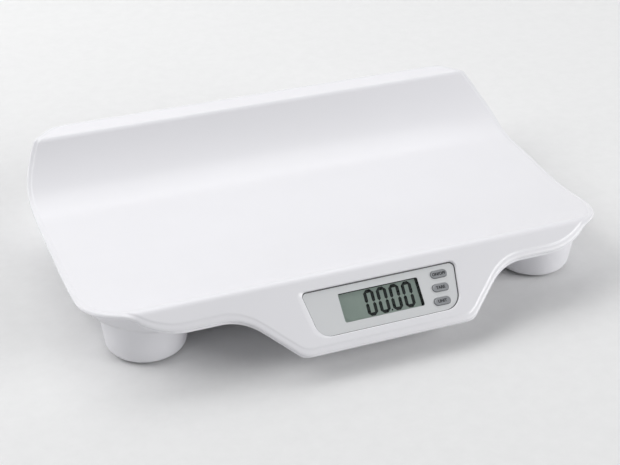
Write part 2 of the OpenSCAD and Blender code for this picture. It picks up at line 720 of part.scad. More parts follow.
// The leads fan out from the sockets without crossing, on the floor of the housing
lie = floor_top + cable_r + 2 * fit;
cell_sockets = [0, 4, 1, 3];                            // for the front left, front right, back left, back right
module cell_cable(k) color("slategray") {
    at = pod_places[k];
    side = sign(at[0]);
    end = socket_at(cell_sockets[k]);
    start = [at[0] - side * 2, at[1] - 12, cell_z + cell_plate + 0.8 + cable_r];
    leave = [start, start + [-side * 10, -2, 1], [at[0] - side * 34, at[1] - 4, lie]];
    cross = k < 2
        ? [[at[0] * 0.56, at[1] + 4, lie], [end[0] + side * 6, at[1] + 8, lie]]
        : [[at[0] * 0.58, at[1] - 24, lie], [at[0] * 0.49, ridge_y + 120, lie], [end[0] + side * 12, ridge_y + 56, lie]];
    tube(smooth(concat(leave, cross, [[end[0], end[1] + 26, lie], end + [0, 4, 0]]), 4), cable_r);
}

module battery_cable() color("firebrick") {
    end = socket_at(2);
    start = [-bay[0] / 2 - bay_wall - 1, bay_centre - 20, lie + 4];
    tube(smooth([
        start, start + [-7, -6, -4], [-30, ridge_y + 100, lie], [end[0] - 4, ridge_y + 60, lie],
        [end[0], end[1] + 26, lie], end + [0, 4, 0]
    ], 4), cable_r);
}

// ---- Batteries and their door -------------------------------------------------------------

battery_y = bay_centre - battery_len / 2 - 0.65;
module battery(k) color(k % 2 == 0 ? "darkslategray" : "dimgray")
    translate([(k - 1.5) * battery_pitch, bay_centre, battery_z]) rotate([k % 2 == 0 ? 90 : -90, 0, 0])
        translate([0, 0, -battery_len / 2 - 0.65]) {
            cylinder(h = battery_len, r = battery_r, $fn = 64);
            translate([0, 0, battery_len]) cylinder(h = 1.3, r = 2.7, $fn = 32);
        }

// A bowed leaf that presses on the flat end of a battery
leaf_w = 9;
contact_half = 6;                                       // half height of a contact
contact_t = 0.5;
module leaf() translate([-leaf_w / 2, 0, 0]) rotate([90, 0, 90]) linear_extrude(leaf_w) polygon(concat(
    [[0, -contact_half], [contact_t, -contact_half]],
    [for (k = [-4:4]) [contact_t + (contact_room - contact_t - fit) * cos(k * 22.5), k * contact_half / 5]],
    [[contact_t, contact_half], [0, contact_half]]
));

module contacts(parity) {
    for (k = [0:3]) let(end = k % 2 == parity ? 1 : -1)
        translate([(k - 1.5) * battery_pitch, bay_centre + end * (bay[1] / 2 - 0.05), battery_z])
            rotate([0, 0, end > 0 ? 180 : 0]) children();
}

module battery_springs() color("silver") contacts(0) leaf();

module battery_plates() color("silver") contacts(1) {
    translate([-leaf_w / 2, 0, -contact_half]) cube([leaf_w, contact_t, 2 * contact_half]);
    rotate([-90, 0, 0]) cylinder(h = contact_room - 0.3, r = 2, $fn = 32);
}

hook = 1.4;                                             // how far the door reaches into its grooves
module battery_door() color("ivory") translate([0, bay_centre, 0]) {
    wall = 2.2;
    half = rail[0] / 2 + door_gap;
    low = door_top - door_t;
    box([2 * (half + wall), rail[1], door_t], low);
    for (side = [-1, 1]) {
        translate([side * (half + wall / 2), 0, 0]) box([wall, rail[1], plate_z - rail_drop + 1.5 + groove[1] - door_gap - low], low);
        translate([side * (half - hook / 2 + eps), door_gap + 1, 0])
            box([hook + 2 * eps, rail[1] - 2 * door_gap - 2, groove[1] - 2 * door_gap], plate_z - rail_drop + 1.5 + door_gap);
    }
    // Thumb ribs
    for (k = [0:4]) translate([0, -rail[1] / 2 + 10 + k * 3, 0]) box([26, 1.2, 0.6 + eps], low - 0.6);
}

// ---- The scale ----------------------------------------------------------------------------

module at_pod(k) translate([pod_places[k][0], pod_places[k][1], 0]) children();

tray();
base();
display_panel();
display_lens();
lcd_cell();
lcd_frame();
lcd_connectors();
main_board();
board_parts();
key_mat();
key_contacts();
board_screws();
button(1);  // power_button
button(0);  // tare_button
button(-1);  // unit_button
at_pod(0) load_cell();  // load_cell_front_left
at_pod(1) load_cell();  // load_cell_front_right
at_pod(2) load_cell();  // load_cell_back_left
at_pod(3) load_cell();  // load_cell_back_right
at_pod(0) foot();  // foot_front_left
at_pod(1) foot();  // foot_front_right
at_pod(2) foot();  // foot_back_left
at_pod(3) foot();  // foot_back_right
at_pod(0) foot_pad();  // foot_pad_front_left
at_pod(1) foot_pad();  // foot_pad_front_right
at_pod(2) foot_pad();  // foot_pad_back_left
at_pod(3) foot_pad();  // foot_pad_back_right
cell_cable(0);  // cell_cable_front_left
cell_cable(1);  // cell_cable_front_right
cell_cable(2);  // cell_cable_back_left
cell_cable(3);  // cell_cable_back_right
cell_screws();
shell_screws();
battery_door();
battery(0);  // battery_1
battery(1);  // battery_2
battery(2);  // battery_3
battery(3);  // battery_4
battery_springs();
battery_plates();
battery_cable();
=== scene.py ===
# Digital baby weighing scale: a shallow moulded tray with a curled back rim, a leaning display face
# with a readout and three push buttons, and a low housing on four round feet. Metres throughout.
from math import atan2, cos, hypot, pi, radians, sin, tan

import bpy
from mathutils import Matrix, Vector
from mathutils.geometry import delaunay_2d_cdt


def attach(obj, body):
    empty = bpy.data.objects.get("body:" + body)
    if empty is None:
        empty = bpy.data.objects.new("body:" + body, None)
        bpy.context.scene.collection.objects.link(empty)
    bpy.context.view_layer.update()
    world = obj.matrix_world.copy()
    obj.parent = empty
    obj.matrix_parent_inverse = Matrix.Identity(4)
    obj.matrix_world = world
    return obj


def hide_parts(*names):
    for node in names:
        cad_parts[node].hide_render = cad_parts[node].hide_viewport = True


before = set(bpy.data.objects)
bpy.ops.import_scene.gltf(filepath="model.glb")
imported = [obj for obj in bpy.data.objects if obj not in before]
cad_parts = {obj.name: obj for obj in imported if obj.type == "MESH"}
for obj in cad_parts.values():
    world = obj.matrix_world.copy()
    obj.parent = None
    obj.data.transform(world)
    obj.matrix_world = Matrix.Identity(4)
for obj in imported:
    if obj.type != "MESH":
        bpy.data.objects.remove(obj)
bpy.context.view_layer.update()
mm = 0.001

# -------------------------------------------
# Tray: one glossy white ABS moulding. Its trough is a single bend from the front ridge over the
# level floor and up the back wall to a curled rim. A lip runs round the edge and turns down over
# the housing below, and the recess of the display film is sunk into the leaning front face.
# -------------------------------------------
FACE_LEAN, RIDGE_SLOPE, BACK_SLOPE, RIM_SLOPE = (radians(a) for a in (48.5, 20, 52, 8))
FLOOR_Z, RIDGE_Z, RIDGE_Y = 0.052, 0.077, -0.143232
RIDGE_R, ROLL_R, RIM_W, SKIRT_DEPTH = 0.010, 0.010, 0.014, 0.012
FLOOR_RUN, BACK_RISE = 0.082, 0.046
RIDGE_TANGENT = RIDGE_R * tan((pi / 2 - FACE_LEAN + RIDGE_SLOPE) / 2)
FRONT_ARC = (RIDGE_Z - FLOOR_Z - RIDGE_TANGENT * sin(RIDGE_SLOPE)) / (1 - cos(RIDGE_SLOPE))
BACK_ARC = BACK_RISE / (1 - cos(BACK_SLOPE))
FACE_REACH = 0.090                                # how far the face is run down before it is trimmed
FACE_SIDE, FACE_CHIN = 0.020, 0.070               # its length beside the display, and down to the chin

# The bend as straight runs and arcs: (length or radius, turn)
bend = [(FACE_REACH - RIDGE_TANGENT, 0), (RIDGE_R, -(pi / 2 - FACE_LEAN + RIDGE_SLOPE)),
        (FRONT_ARC, RIDGE_SLOPE), (FLOOR_RUN, 0), (BACK_ARC, BACK_SLOPE),
        (ROLL_R, RIM_SLOPE - BACK_SLOPE), (RIM_W, 0), (ROLL_R, -RIM_SLOPE - pi / 2), (SKIRT_DEPTH, 0)]


def lay_out_bend():
    """Each run as (start length, y, z, heading, radius, turn), and the whole length."""
    y = RIDGE_Y - FACE_REACH * sin(FACE_LEAN)
    z = RIDGE_Z - FACE_REACH * cos(FACE_LEAN)
    heading, along, runs = pi / 2 - FACE_LEAN, 0.0, []
    for size, turn in bend:
        runs.append((along, y, z, heading, size, turn))
        if turn == 0:
            y, z, along = y + size * cos(heading), z + size * sin(heading), along + size
        else:
            side = 1 if turn > 0 else -1
            y += side * size * (sin(heading + turn) - sin(heading))
            z += side * size * (cos(heading) - cos(heading + turn))
            heading, along = heading + turn, along + size * abs(turn)
    return runs, along


runs, BEND_LENGTH = lay_out_bend()


def on_bend(s):
    """Height line of the tray surface at length s along the bend: y, z and heading."""
    start, y, z, heading, size, turn = next(r for r in reversed(runs) if s >= r[0] - 1e-9 or r is runs[0])
    if turn == 0:
        return y + (s - start) * cos(heading), z + (s - start) * sin(heading), heading
    side = 1 if turn > 0 else -1
    end = heading + side * (s - start) / size
    return (y + side * size * (sin(end) - sin(heading)), z + side * size * (cos(heading) - cos(end)), end)


# Lengths along the bend where the sheet gets a crease line, closer where it turns more
creases = []
for start, _, _, _, size, turn in runs:
    steps = max(1, round(abs(turn) / radians(2.5)))
    creases += [start + k * (size if turn == 0 else size * abs(turn)) / steps for k in range(steps)]
creases.append(BEND_LENGTH)
by_y = [(on_bend(BEND_LENGTH * k / 4000)[0], BEND_LENGTH * k / 4000) for k in range(4001)]
SKIRT_START = runs[-1][0]
RIM_BACK = on_bend(SKIRT_START)[0]


def bend_length_at(y):
    """Length along the bend of the first point that is y back, short of the upright skirt."""
    y = min(y, RIM_BACK - 1e-9)
    low, high = 0, len(by_y) - 1
    while high - low > 1:
        middle = (low + high) // 2
        low, high = (middle, high) if by_y[middle][0] < y else (low, middle)
    (ya, sa), (yb, sb) = by_y[low], by_y[high]
    return sa + (sb - sa) * min(1, max(0, (y - ya) / (yb - ya or 1)))


def rounded(corners, radii, grow=0.0, step=radians(3), gap=0.006):
    """Anticlockwise outline grown by a distance, each corner rounded to its own radius."""
    count = len(corners)
    lines = []
    for k in range(count):
        a, b = Vector(corners[k]), Vector(corners[(k + 1) % count])
        d = (b - a).normalized()
        lines.append((a + Vector((d.y, -d.x)) * grow, d))
    points = []
    for k in range(count):
        (pa, da), (pb, db) = lines[k - 1], lines[k]
        turn = da.x * db.y - da.y * db.x
        corner = pa + da * ((pb - pa).x * db.y - (pb - pa).y * db.x) / turn
        side = 1 if turn > 0 else -1
        radius = max(radii[k] + side * grow, 0.0002)
        half = (pi - abs(atan2(turn, da.dot(db)))) / 2
        centre = corner + (db - da).normalized() * radius / sin(half)
        first = corner - da * radius / tan(half) - centre
        angle, sweep = atan2(first.y, first.x), side * (pi - 2 * half)
        steps = max(2, round(abs(sweep) / step))
        arc = [centre + Vector((cos(angle + sweep * j / steps), sin(angle + sweep * j / steps))) * radius
               for j in range(steps + 1)]
        if points:
            between = max(1, round((arc[0] - points[-1]).length / gap))
            points += [points[-1].lerp(arc[0], j / between) for j in range(1, between)]
        points += arc
    between = max(1, round((points[0] - points[-1]).length / gap))
    points += [points[-1].lerp(points[0], j / between) for j in range(1, between)]
    return points


def smooth_step(value):
    value = min(1, max(0, value))
    return value * value * (3 - 2 * value)


DISPLAY_FOOT, DISPLAY_SHOULDER, FRONT_HALF, BACK_HALF = 0.087, 0.137, 0.272, 0.278
FRONT_EDGE, CHIN = RIDGE_Y - FACE_SIDE * sin(FACE_LEAN), RIDGE_Y - FACE_CHIN * sin(FACE_LEAN)
tray_corners = [(-DISPLAY_FOOT, CHIN), (DISPLAY_FOOT, CHIN), (DISPLAY_SHOULDER, FRONT_EDGE),
                (FRONT_HALF, FRONT_EDGE), (BACK_HALF, RIM_BACK), (-BACK_HALF, RIM_BACK),
                (-FRONT_HALF, FRONT_EDGE), (-DISPLAY_SHOULDER, FRONT_EDGE)]
tray_radii = [0.022, 0.022, 0.064, 0.082, 0.084, 0.084, 0.082, 0.064]
# The skirt hangs only along the back edge, and fades out towards its ends
SKIRT_ZONE, SKIRT_END, SKIRT_FADE = 0.19, 0.205, 0.040


def sheet_outline():
    """Edge of the tray on the flat sheet: x across, y the length along the bend."""
    edge = []
    for p in rounded(tray_corners, tray_radii, step=radians(2.5), gap=0.005):
        skirt = SKIRT_DEPTH * smooth_step((SKIRT_END - abs(p.x)) / SKIRT_FADE) if p.y > SKIRT_ZONE else 0
        edge.append(Vector((p.x, bend_length_at(p.y) + skirt)))
    whole = []
    for a, b in zip(edge, edge[1:] + edge[:1]):
        whole.append(a)
        between = [s for s in creases if min(a.y, b.y) + 1e-6 < s < max(a.y, b.y) - 1e-6]
        for s in sorted(between, reverse=b.y < a.y):
            whole.append(a.lerp(b, (s - a.y) / (b.y - a.y)))
    return whole


def outward_of(loop):
    """Unit directions out of an anticlockwise loop."""
    out = []
    for k, p in enumerate(loop):
        d = (loop[(k + 1) % len(loop)] - loop[k - 1]).normalized()
        out.append(Vector((d.y, -d.x)))
    return out


class Skin:
    """Points, their true normals, and faces of one moulded piece."""

    def __init__(self):
        self.points, self.normals, self.faces = [], [], []

    def add(self, point, normal):
        self.points.append(Vector(point))
        self.normals.append(Vector(normal).normalized())
        return len(self.points) - 1

    def band(self, lower, upper, closed=True):
        count = len(lower)
        for k in range(count if closed else count - 1):
            j = (k + 1) % count
            self.faces.append((lower[k], lower[j], upper[j], upper[k]))

    def object(self, name, material, true_normals=True):
        mesh = bpy.data.meshes.new(name)
        mesh.from_pydata([tuple(p) for p in self.points], [], self.faces)
        mesh.validate()
        mesh.update()
        mesh.polygons.foreach_set("use_smooth", [True] * len(mesh.polygons))
        if true_normals:
            mesh.normals_split_custom_set_from_vertices([tuple(n) for n in self.normals])
        mesh.materials.append(material)
        made = bpy.data.objects.new(name, mesh)
        bpy.context.scene.collection.objects.link(made)
        return made

    def piece(self, name, material, body, true_normals=True):
        piece = self.object(name, material, true_normals)
        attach(piece, body)
        return piece


def tray_point(x, s, out=None, reach=0.0, drop=0.0):
    """Point reach beyond (x, s) along a sheet direction and drop below the surface there."""
    y, z, heading = on_bend(s)
    point = Vector((x, y - drop * -sin(heading), z - drop * cos(heading)))
    if out is not None:
        point += reach * Vector((out.x, out.y * cos(heading), out.y * sin(heading)))
    return point


def tray_normal(s):
    heading = on_bend(s)[2]
    return Vector((0, -sin(heading), cos(heading)))


PANEL_TOP, PANEL_H, PANEL_HALF, PANEL_SHIFT, PANEL_TAPER = 0.0159, 0.045, 0.0805, 0.0045, 0.0074
PANEL_GAP, MOUTH_W, MOUTH_LEFT, RECESS = 0.001, 0.001, 0.0045, 0.003
MOUTH_EDGE = 1.25                                 # share of the mouth at which its curve meets the face
panel_radii = [0.014, 0.017, 0.005, 0.004]


def panel_outline(grow, left=0.0):
    """Outline of the display film, grown, with its left side moved out; y down from its top edge."""
    corners = [(PANEL_SHIFT - PANEL_HALF + PANEL_TAPER - left, -PANEL_H),
               (PANEL_SHIFT + PANEL_HALF - PANEL_TAPER, -PANEL_H),
               (PANEL_SHIFT + PANEL_HALF, 0), (PANEL_SHIFT - PANEL_HALF - left, 0)]
    return rounded(corners, panel_radii, grow, radians(4), 1.0)


def mouth_loop(share, inset=0.0):
    """Ring on the flat sheet, from the wall of the recess (0) out to the edge of its mouth (1)."""
    top = Vector((0, FACE_REACH - PANEL_TOP))
    wall, mouth = panel_outline(PANEL_GAP - inset), panel_outline(PANEL_GAP + MOUTH_W, MOUTH_LEFT)
    return [top + a.lerp(b, share) for a, b in zip(wall, mouth)]


# Cross-section of the lip, from the surface of the trough outwards: (reach, drop) in millimetres
lip_section = [(-2.0, 0), (-1.2, 0.02), (-0.6, 0.12), (-0.1, 0.32), (0.4, 0.55), (1.0, 0.7), (1.8, 0.78),
               (2.8, 0.86), (3.7, 1.05), (4.35, 1.45), (4.8, 2.1), (5.0, 2.9), (4.95, 3.7), (4.7, 4.4),
               (4.25, 4.95), (3.7, 5.25), (3.2, 5.3), (2.9, 5.1), (2.8, 4.6), (2.8, 2.8), (-6, 2.8)]
# The bare edge of the back skirt, which has no lip
skirt_section = [(-2.0, 0), (-1.6, 0), (-1.2, 0), (-0.9, 0.02), (-0.6, 0.1), (-0.35, 0.24), (-0.15, 0.45),
                 (-0.04, 0.7), (0, 1.0), (0, 1.3), (-0.03, 1.6), (-0.1, 1.9), (-0.22, 2.15), (-0.4, 2.4),
                 (-0.6, 2.58), (-0.85, 2.7), (-1.1, 2.76), (-1.4, 2.8), (-1.8, 2.8), (-2.6, 2.8), (-6, 2.8)]
LIP_BACK, LIP_END, LIP_FADE = 0.022, 0.236, 0.034        # where the lip gives way to the bare edge


def build_tray():
    skin = Skin()
    edge = sheet_outline()
    outward = outward_of(edge)
    rings = [[] for _ in lip_section]
    for p, out in zip(edge, outward):
        heading = on_bend(p.y)[2]
        lip = 1 - smooth_step((LIP_END - abs(p.x)) / LIP_FADE) if p.y > SKIRT_START - LIP_BACK else 1
        fall = hypot(out.x, out.y * cos(heading))
        stretch = 1 / max(0.72, fall) if p.y < runs[1][0] else 1
        section = [(lip * ra * (stretch if ra > 0 else 1) + (1 - lip) * rb, lip * da + (1 - lip) * db)
                   for (ra, da), (rb, db) in zip(lip_section, skirt_section)]
        across = Vector((out.x, out.y * cos(heading), out.y * sin(heading)))
        up = tray_normal(p.y)
        for k, (reach, drop) in enumerate(section):
            before, after = section[max(k - 1, 0)], section[min(k + 1, len(section) - 1)]
            normal = across * (after[1] - before[1]) + up * (after[0] - before[0])
            if reach < 0:
                s = p.y + out.y * reach * mm
                point = tray_point(p.x + out.x * reach * mm, min(s, BEND_LENGTH), drop=drop * mm)
                if k == 0:
                    normal = tray_normal(s)
            else:
                point = tray_point(p.x, p.y, out, reach * mm, drop * mm)
            rings[k].append(skin.add(point, normal))
    for lower, upper in zip(rings[1:], rings[:-1]):
        skin.band(lower, upper)

    # Sheet inside the lip, triangulated between its crease lines, with the recess left out
    inner = [p + out * lip_section[0][0] * mm for p, out in zip(edge, outward)]
    hole = mouth_loop(MOUTH_EDGE)
    flat = inner + hole
    count = len(inner)
    lines = [(k, (k + 1) % count) for k in range(count)]
    lines += [(count + k, count + (k + 1) % len(hole)) for k in range(len(hole))]
    crossings = {}
    for k in range(count):
        j = (k + 1) % count
        a, b = inner[k], inner[j]
        for s in creases:
            if min(a.y, b.y) < s <= max(a.y, b.y):
                crossings.setdefault(s, []).append(k if abs(a.y - s) < abs(b.y - s) else j)
    for s, places in crossings.items():
        places.sort(key=lambda k: inner[k].x)
        for left, right in zip(places[::2], places[1::2]):
            low, high = inner[left].x + 0.004, inner[right].x - 0.004
            first, steps = len(flat), max(1, round((high - low) / 0.02))
            flat += [Vector((low + (high - low) * j / steps, s)) for j in range(steps + 1)]
            lines += [(left, first), (first + steps, right)]
            lines += [(first + j, first + j + 1) for j in range(steps)]
    ring_face, hole_face = list(range(count)), list(range(count, count + len(hole)))
    verts, _, faces, origin, _, face_origin = delaunay_2d_cdt(flat, lines, [ring_face, hole_face], 1, 1e-7)
    known = {}
    for index, sources in enumerate(origin):
        on_edge = [k for k in sources if k < count]
        if on_edge:
            known[index] = rings[0][on_edge[0]]
        else:
            known[index] = skin.add(tray_point(verts[index].x, verts[index].y), tray_normal(verts[index].y))
    for face, sources in zip(faces, face_origin):
        if 1 not in sources:
            skin.faces.append(tuple(known[k] for k in face))

    # Recess of the display film: a soft mouth, wide at the left, a steep wall, and a floor under the film.
    # Each ring: share of the mouth's width, drop and inset in millimetres
    wall = [(MOUTH_EDGE, 0, 0), (1.08, 0.03, 0), (0.92, 0.12, 0), (0.75, 0.28, 0), (0.55, 0.5, 0),
            (0.36, 0.74, 0), (0.2, 0.98, 0), (0.08, 1.24, 0), (0, 1.6, 0), (0, 2.7, 0), (0, 2.95, 0.06),
            (0, 3.0, 0.3), (0, 3.0, 4)]
    loops = [mouth_loop(share, inset * mm) for share, _, inset in wall]
    places = [[tray_point(p.x, p.y, drop=drop * mm) for p in loop]
              for loop, (_, drop, _) in zip(loops, wall)]
    rings, count = [], len(loops[0])
    for k, ring in enumerate(places):
        row = []
        for j, point in enumerate(ring):
            inwards = places[min(k + 1, len(wall) - 1)][j] - places[max(k - 1, 0)][j]
            along = ring[(j + 1) % count] - ring[j - 1]
            normal = tray_normal(loops[k][j].y) if k == 0 else along.cross(inwards) * -1
            row.append(skin.add(point, normal if normal.dot(tray_normal(0)) > -1e-9 else -normal))
        rings.append(row)
    for outer, inside in zip(rings[:-1], rings[1:]):
        skin.band(outer, inside)
    return skin


def effect(name, inputs, outputs):
    """A shader node group with these named inputs (name: start value) and outputs."""
    group = bpy.data.node_groups.new(name, "ShaderNodeTree")
    for label, value in inputs.items():
        socket = group.interface.new_socket(label, in_out="INPUT", socket_type="NodeSocketFloat")
        socket.default_value = value
    for label in outputs:
        group.interface.new_socket(label, in_out="OUTPUT", socket_type="NodeSocketFloat")
    return group, group.nodes.new("NodeGroupInput"), group.nodes.new("NodeGroupOutput")


def grain(tree, coordinates, scale, detail, roughness, scale_from=None):
    noise = tree.nodes.new("ShaderNodeTexNoise")
    noise.inputs["Scale"].default_value = scale
    noise.inputs["Detail"].default_value = detail
    noise.inputs["Roughness"].default_value = roughness
    tree.links.new(coordinates, noise.inputs["Vector"])
    if scale_from is not None:
        tree.links.new(scale_from, noise.inputs["Scale"])
    return noise.outputs["Fac"]


def remap(tree, value, low, high, to_low=0.0, to_high=1.0):
    node = tree.nodes.new("ShaderNodeMapRange")
    node.clamp = True
    for socket, number in zip(("From Min", "From Max", "To Min", "To Max"), (low, high, to_low, to_high)):
        if isinstance(number, (int, float)):
            node.inputs[socket].default_value = number
        else:
            tree.links.new(number, node.inputs[socket])
    tree.links.new(value, node.inputs["Value"])
    return node.outputs["Result"]


def arithmetic(tree, operation, a, b):
    node = tree.nodes.new("ShaderNodeMath")
    node.operation = operation
    for socket, value in zip(node.inputs, (a, b)):
        if isinstance(value, (int, float)):
            socket.default_value = value
        else:
            tree.links.new(value, socket)
    return node.outputs[0]


def moulded_plastic_effect():
    """Spark texture of the mould, faint flow waves under the gloss, and smudges from handling."""
    group, given, out = effect("moulded_plastic", {"Grain Scale": 900.0, "Grain": 0.35, "Smudges": 1.0},
                               ("Height", "Smudge", "Patches"))
    place = group.nodes.new("ShaderNodeTexCoord").outputs["Object"]
    fine = grain(group, place, 900, 3, 0.6, given.outputs["Grain Scale"])
    waves = grain(group, place, 22, 1, 0.4)
    height = arithmetic(group, "ADD", arithmetic(group, "MULTIPLY", fine, given.outputs["Grain"]), waves)
    rubbed = remap(group, grain(group, place, 9, 3, 0.5), 0.42, 0.80)
    streaks = remap(group, grain(group, place, 40, 2, 0.5), 0.30, 0.80)
    marks = arithmetic(group, "MULTIPLY", rubbed, streaks)
    smudge = arithmetic(group, "MULTIPLY", marks, given.outputs["Smudges"])
    group.links.new(height, out.inputs["Height"])
    group.links.new(smudge, out.inputs["Smudge"])
    group.links.new(remap(group, grain(group, place, 5, 3, 0.5), 0.35, 0.65), out.inputs["Patches"])
    return group


def settled_dust_effect():
    """Fine dust that lies on upward faces, thicker in soft patches."""
    group, given, out = effect("settled_dust", {"Amount": 0.3}, ("Dust",))
    place = group.nodes.new("ShaderNodeTexCoord").outputs["Object"]
    facing = group.nodes.new("ShaderNodeSeparateXYZ")
    group.links.new(group.nodes.new("ShaderNodeNewGeometry").outputs["Normal"], facing.inputs[0])
    level = remap(group, facing.outputs["Z"], 0.55, 1.0)
    specks = remap(group, grain(group, place, 1500, 2, 0.8), 0.62, 0.72)
    clouds = remap(group, grain(group, place, 30, 5, 0.6), 0.4, 0.75)
    lying = arithmetic(group, "ADD", arithmetic(group, "MULTIPLY", specks, 0.7), clouds)
    dust = arithmetic(group, "MULTIPLY", lying, level)
    group.links.new(arithmetic(group, "MULTIPLY", dust, given.outputs["Amount"]), out.inputs["Dust"])
    return group


moulded_plastic = moulded_plastic_effect()
settled_dust = settled_dust_effect()


def mix_colour(tree, amount, first, second):
    node = tree.nodes.new("ShaderNodeMix")
    node.data_type = "RGBA"
    tree.links.new(amount, node.inputs["Factor"])
    for socket, colour in ((node.inputs[6], first), (node.inputs[7], second)):
        if isinstance(colour, tuple):
            socket.default_value = (*colour, 1)
        else:
            tree.links.new(colour, socket)
    return node.outputs[2]


def fresh_material(name):
    """A new material, its node tree and its shader."""
    material = bpy.data.materials.new(name)
    material.use_nodes = True
    return material, material.node_tree, material.node_tree.nodes["Principled BSDF"]


def plastic(name, colour, tint, roughness=0.3, rougher=0.035, grain_scale=900.0, grain_depth=0.35,
            bump=0.05, smudges=0.5, dust=0.05, coat=0.0):
    """Moulded plastic: a colour that drifts to a tint, with the mould's texture, smudges and dust."""
    material, tree, shader = fresh_material(name)
    shader.inputs["IOR"].default_value = 1.53
    shader.inputs["Coat Weight"].default_value = coat
    surface = tree.nodes.new("ShaderNodeGroup")
    surface.node_tree = moulded_plastic
    for label, value in (("Grain Scale", grain_scale), ("Grain", grain_depth), ("Smudges", smudges)):
        surface.inputs[label].default_value = value
    dusty = tree.nodes.new("ShaderNodeGroup")
    dusty.node_tree = settled_dust
    dusty.inputs["Amount"].default_value = dust
    drift = mix_colour(tree, surface.outputs["Patches"], colour, tint)
    dust_colour, share = (0.45, 0.43, 0.40), 0.28
    dulled = tuple((1 - share) * c + share * d for c, d in zip(colour, dust_colour))
    tree.links.new(mix_colour(tree, dusty.outputs["Dust"], drift, dulled), shader.inputs["Base Color"])
    smudged = arithmetic(tree, "MULTIPLY", surface.outputs["Smudge"], rougher)
    rough = arithmetic(tree, "ADD", smudged, roughness)
    rough = arithmetic(tree, "ADD", arithmetic(tree, "MULTIPLY", dusty.outputs["Dust"], 0.25), rough)
    tree.links.new(rough, shader.inputs["Roughness"])
    relief = tree.nodes.new("ShaderNodeBump")
    relief.inputs["Strength"].default_value = bump
    relief.inputs["Distance"].default_value = 0.0002
    tree.links.new(surface.outputs["Height"], relief.inputs["Height"])
    tree.links.new(relief.outputs["Normal"], shader.inputs["Normal"])
    return material


white_abs = plastic("glossy_white_abs", (0.86, 0.855, 0.885), (0.845, 0.84, 0.868), roughness=0.24)
tray = build_tray().piece("tray_moulding", white_abs, "scale_body")
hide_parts("tray")

# -------------------------------------------
# Lower housing: the second white ABS moulding, screwed up into the tray. Its sides slope in to a
# flat underside, a channel carries the display face, and four round pods hold the feet. These
# smooth skins lie a hair outside the solid shell, whose underside stays in view.
# -------------------------------------------
PLATE_Z, SHOULDER_Z, SKIN = 0.024, 0.046, 0.00018
TUCK_SIDES, TUCK_PODS, TUCK_CHANNEL = 0.0045, 0.0052, 0.0060      # how deep each skin ends below the trough
# The pods in millimetres: radius at the foot of the wall, radius of the rounded bottom edge, height of
# the underside, and how far the wall leans out over which height
POD_R, POD_EDGE, POD_BASE, POD_LEAN, POD_H = 40, 7, 3, 6, 48
POD_X, POD_Y = 0.214, (-0.0912318, 0.118659)
housing_abs = plastic("white_abs_housing", (0.84, 0.836, 0.866), (0.82, 0.816, 0.845), roughness=0.32)


def under_tray(y, drop):
    """Height at y of a sheet that lies this drop below the trough, square to it."""
    _, z, heading = on_bend(bend_length_at(min(y, RIM_BACK - 0.002)))
    return z - drop / max(0.3, cos(heading))


def build_housing_sides():
    """The sloping sides, lofted between three outlines and rounded over where the slope changes."""
    skin = Skin()
    # Height, distance in from the tray's front, ends and back, and the front and back corner radii
    levels = [(PLATE_Z, 0.056, 0.052, 0.066, 0.034, 0.034), (SHOULDER_Z, 0.014, 0.004, 0.046, 0.078, 0.080),
              (0.0778, 0.004, 0.004, 0.004, 0.078, 0.080)]
    loops = []
    for z, front, side, back, front_r, back_r in levels:
        corners = [(side - FRONT_HALF, FRONT_EDGE + front), (FRONT_HALF - side, FRONT_EDGE + front),
                   (BACK_HALF - side, RIM_BACK - back), (side - BACK_HALF, RIM_BACK - back)]
        points = rounded(corners, [front_r, front_r, back_r, back_r], SKIN, radians(4.5), 1.0)
        loops.append([Vector((p.x, p.y, z)) for p in points])
    count = len(loops[0])
    pieces = [max(1, round((loops[1][(k + 1) % count] - loops[1][k]).length / 0.006)) for k in range(count)]
    loops = [[a.lerp(b, j / n) for a, b, n in zip(loop, loop[1:] + loop[:1], pieces) for j in range(n)]
             for loop in loops]
    count = len(loops[0])
    heights = [(0, k / 6) for k in range(6)] + [(1, k / 8) for k in range(9)]
    rings = [[a.lerp(b, share) for a, b in zip(loops[part], loops[part + 1])] for part, share in heights]
    ids = []
    for level, ring in enumerate(rings):
        row = []
        for k, p in enumerate(ring):
            along = ring[(k + 1) % count] - ring[k - 1]
            rise = rings[min(level + 1, len(rings) - 1)][k] - rings[max(level - 1, 0)][k]
            z = min(p.z, under_tray(p.y, TUCK_SIDES))
            row.append(skin.add(Vector((p.x, p.y, z)), along.cross(rise)))
        ids.append(row)
    for lower, upper in zip(ids[:-1], ids[1:]):
        skin.band(lower, upper)
    return skin


